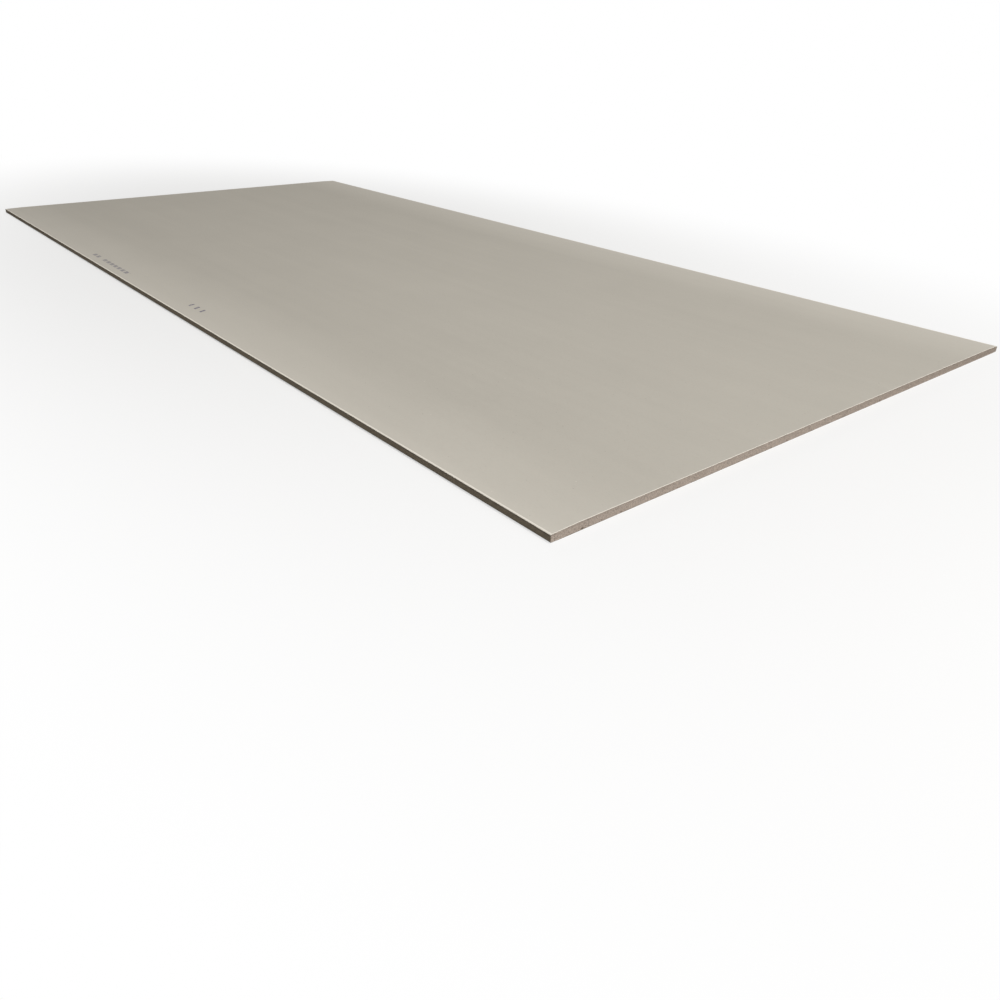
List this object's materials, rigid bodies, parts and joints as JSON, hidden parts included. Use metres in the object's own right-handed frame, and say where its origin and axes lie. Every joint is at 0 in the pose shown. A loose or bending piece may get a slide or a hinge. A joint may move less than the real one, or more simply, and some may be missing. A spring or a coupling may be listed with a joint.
{
  "type": "drywall sheet",
  "caption": "Flat gypsum board sheet with paper liners, tapered paper-wrapped long edges and square-cut bare short ends, lying face up.",
  "frame": {"origin": "centre of the back, on the plane that the sheet lies on", "axes": "+X along the sheet's length, +Y across its width, +Z through its thickness, out of the face"},
  "size_m": [2.6, 1.2, 0.0125],
  "materials": {
    "gypsum": "matte, foamed, with fine open pores where it is cut",
    "face_paper": "smooth matte ivory-grey liner",
    "back_paper": "rough matte grey-brown recycled liner"
  },
  "bodies": {
    "root": {"gypsum_core": "gypsum", "face_paper": "face_paper", "back_paper": "back_paper"}
  },
  "joints": []
}
